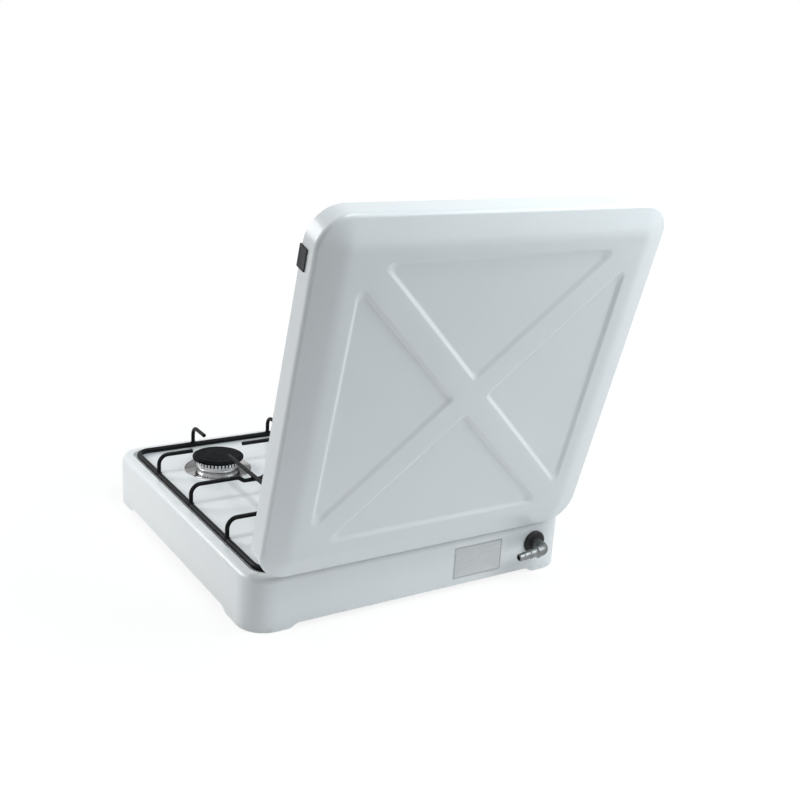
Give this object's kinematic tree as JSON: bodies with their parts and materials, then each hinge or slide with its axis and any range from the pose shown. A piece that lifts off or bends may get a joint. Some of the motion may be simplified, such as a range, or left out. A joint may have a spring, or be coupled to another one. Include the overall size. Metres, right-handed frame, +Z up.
{
  "type": "gas hob with lid",
  "caption": "Tabletop gas hob: white pressed body, burners on a tray under a welded black wire pan support, front knobs, rear hose inlet and a hinged pressed lid that folds back.",
  "frame": {"origin": "the middle of the body on the plane that the rubber feet stand on", "axes": "+X to the right of the person who cooks, +Y to the back where the lid is hinged, +Z up"},
  "size_m": [0.5, 0.6654, 0.5553],
  "materials": {
    "white_enamel": "glossy vitreous enamel",
    "black_enamel": "satin black enamel",
    "bright_steel": "polished",
    "zinc_steel": "zinc plated",
    "cast_aluminium": "machined casting",
    "brass": "machined",
    "black_rubber": "matt",
    "black_plastic": "fine grain"
  },
  "bodies": {
    "base": {"body_shell": "white_enamel", "corner_gussets": "zinc_steel", "rubber_feet": "black_rubber", "drip_ring_front_right": "bright_steel", "drip_ring_front_left": "bright_steel", "drip_ring_rear_right": "bright_steel", "drip_ring_rear_left": "bright_steel", "burner_base_front_right": "cast_aluminium", "burner_base_front_left": "cast_aluminium", "burner_base_rear_right": "cast_aluminium", "burner_base_rear_left": "cast_aluminium", "gas_injectors": "brass", "burner_screws": "zinc_steel", "tap_body_1": "brass", "tap_body_2": "brass", "tap_body_3": "brass", "tap_body_4": "brass", "knob_bezels": "bright_steel", "burner_tube_1": "cast_aluminium", "burner_tube_2": "cast_aluminium", "burner_tube_3": "cast_aluminium", "burner_tube_4": "cast_aluminium", "gas_rail": "zinc_steel", "rail_brackets": "zinc_steel", "inlet_pipe": "zinc_steel", "inlet_block": "brass", "inlet_grommet": "black_rubber", "inlet_elbow": "zinc_steel", "hinge_brackets": "zinc_steel", "hinge_pins": "bright_steel"},
    "lid": {"lid_panel": "white_enamel", "lid_buffers": "black_rubber", "hinge_leaves": "zinc_steel"},
    "pan_support": {"pan_frame": "black_enamel", "pan_cross_bars": "black_enamel", "pan_burner_rods": "black_enamel", "pan_side_fingers": "black_enamel"},
    "tap_core_1": {"tap_plug_1": "brass"},
    "knob_1": {"tap_spindle_1": "zinc_steel", "knob_1": "black_plastic"},
    "tap_core_2": {"tap_plug_2": "brass"},
    "knob_2": {"tap_spindle_2": "zinc_steel", "knob_2": "black_plastic"},
    "tap_core_3": {"tap_plug_3": "brass"},
    "knob_3": {"tap_spindle_3": "zinc_steel", "knob_3": "black_plastic"},
    "tap_core_4": {"tap_plug_4": "brass"},
    "knob_4": {"tap_spindle_4": "zinc_steel", "knob_4": "black_plastic"},
    "head_front_right": {"burner_head_front_right": "cast_aluminium"},
    "cap_front_right": {"burner_cap_front_right": "black_enamel"},
    "head_front_left": {"burner_head_front_left": "cast_aluminium"},
    "cap_front_left": {"burner_cap_front_left": "black_enamel"},
    "head_rear_right": {"burner_head_rear_right": "cast_aluminium"},
    "cap_rear_right": {"burner_cap_rear_right": "black_enamel"},
    "head_rear_left": {"burner_head_rear_left": "cast_aluminium"},
    "cap_rear_left": {"burner_cap_rear_left": "black_enamel"}
  },
  "joints": [
    {"name": "lid_hinge", "type": "hinge", "parent": "base", "child": "lid", "pos_m": [0, 0.2381, 0.0879], "axis": [-1, 0, 0], "range_deg": [-105.2, 0]},
    {"name": "pan_support_lift", "type": "slide", "parent": "base", "child": "pan_support", "axis": [0, 0, 1], "range_m": [0, 0.1]},
    {"name": "tap_turn_1", "type": "hinge", "parent": "base", "child": "tap_core_1", "pos_m": [-0.165, -0.221, 0.039], "axis": [0, -1, 0], "range_deg": [0, 210]},
    {"name": "tap_turn_2", "type": "hinge", "parent": "base", "child": "tap_core_2", "pos_m": [-0.055, -0.221, 0.039], "axis": [0, -1, 0], "range_deg": [0, 210]},
    {"name": "tap_turn_3", "type": "hinge", "parent": "base", "child": "tap_core_3", "pos_m": [0.055, -0.221, 0.039], "axis": [0, -1, 0], "range_deg": [0, 210]},
    {"name": "tap_turn_4", "type": "hinge", "parent": "base", "child": "tap_core_4", "pos_m": [0.165, -0.221, 0.039], "axis": [0, -1, 0], "range_deg": [0, 210]},
    {"name": "knob_push_1", "type": "slide", "parent": "tap_core_1", "child": "knob_1", "axis": [0, 1, 0], "range_m": [0, 0.004], "stiffness_N_per_m": 800},
    {"name": "knob_push_2", "type": "slide", "parent": "tap_core_2", "child": "knob_2", "axis": [0, 1, 0], "range_m": [0, 0.004], "stiffness_N_per_m": 800},
    {"name": "knob_push_3", "type": "slide", "parent": "tap_core_3", "child": "knob_3", "axis": [0, 1, 0], "range_m": [0, 0.004], "stiffness_N_per_m": 800},
    {"name": "knob_push_4", "type": "slide", "parent": "tap_core_4", "child": "knob_4", "axis": [0, 1, 0], "range_m": [0, 0.004], "stiffness_N_per_m": 800},
    {"name": "head_lift_front_right", "type": "slide", "parent": "base", "child": "head_front_right", "axis": [0, 0, 1], "range_m": [0, 0.02]},
    {"name": "head_lift_front_left", "type": "slide", "parent": "base", "child": "head_front_left", "axis": [0, 0, 1], "range_m": [0, 0.02]},
    {"name": "head_lift_rear_right", "type": "slide", "parent": "base", "child": "head_rear_right", "axis": [0, 0, 1], "range_m": [0, 0.02]},
    {"name": "head_lift_rear_left", "type": "slide", "parent": "base", "child": "head_rear_left", "axis": [0, 0, 1], "range_m": [0, 0.02]},
    {"name": "cap_lift_front_right", "type": "slide", "parent": "head_front_right", "child": "cap_front_right", "axis": [0, 0, 1], "range_m": [0, 0.02]},
    {"name": "cap_lift_front_left", "type": "slide", "parent": "head_front_left", "child": "cap_front_left", "axis": [0, 0, 1], "range_m": [0, 0.02]},
    {"name": "cap_lift_rear_right", "type": "slide", "parent": "head_rear_right", "child": "cap_rear_right", "axis": [0, 0, 1], "range_m": [0, 0.02]},
    {"name": "cap_lift_rear_left", "type": "slide", "parent": "head_rear_left", "child": "cap_rear_left", "axis": [0, 0, 1], "range_m": [0, 0.02]}
  ]
}
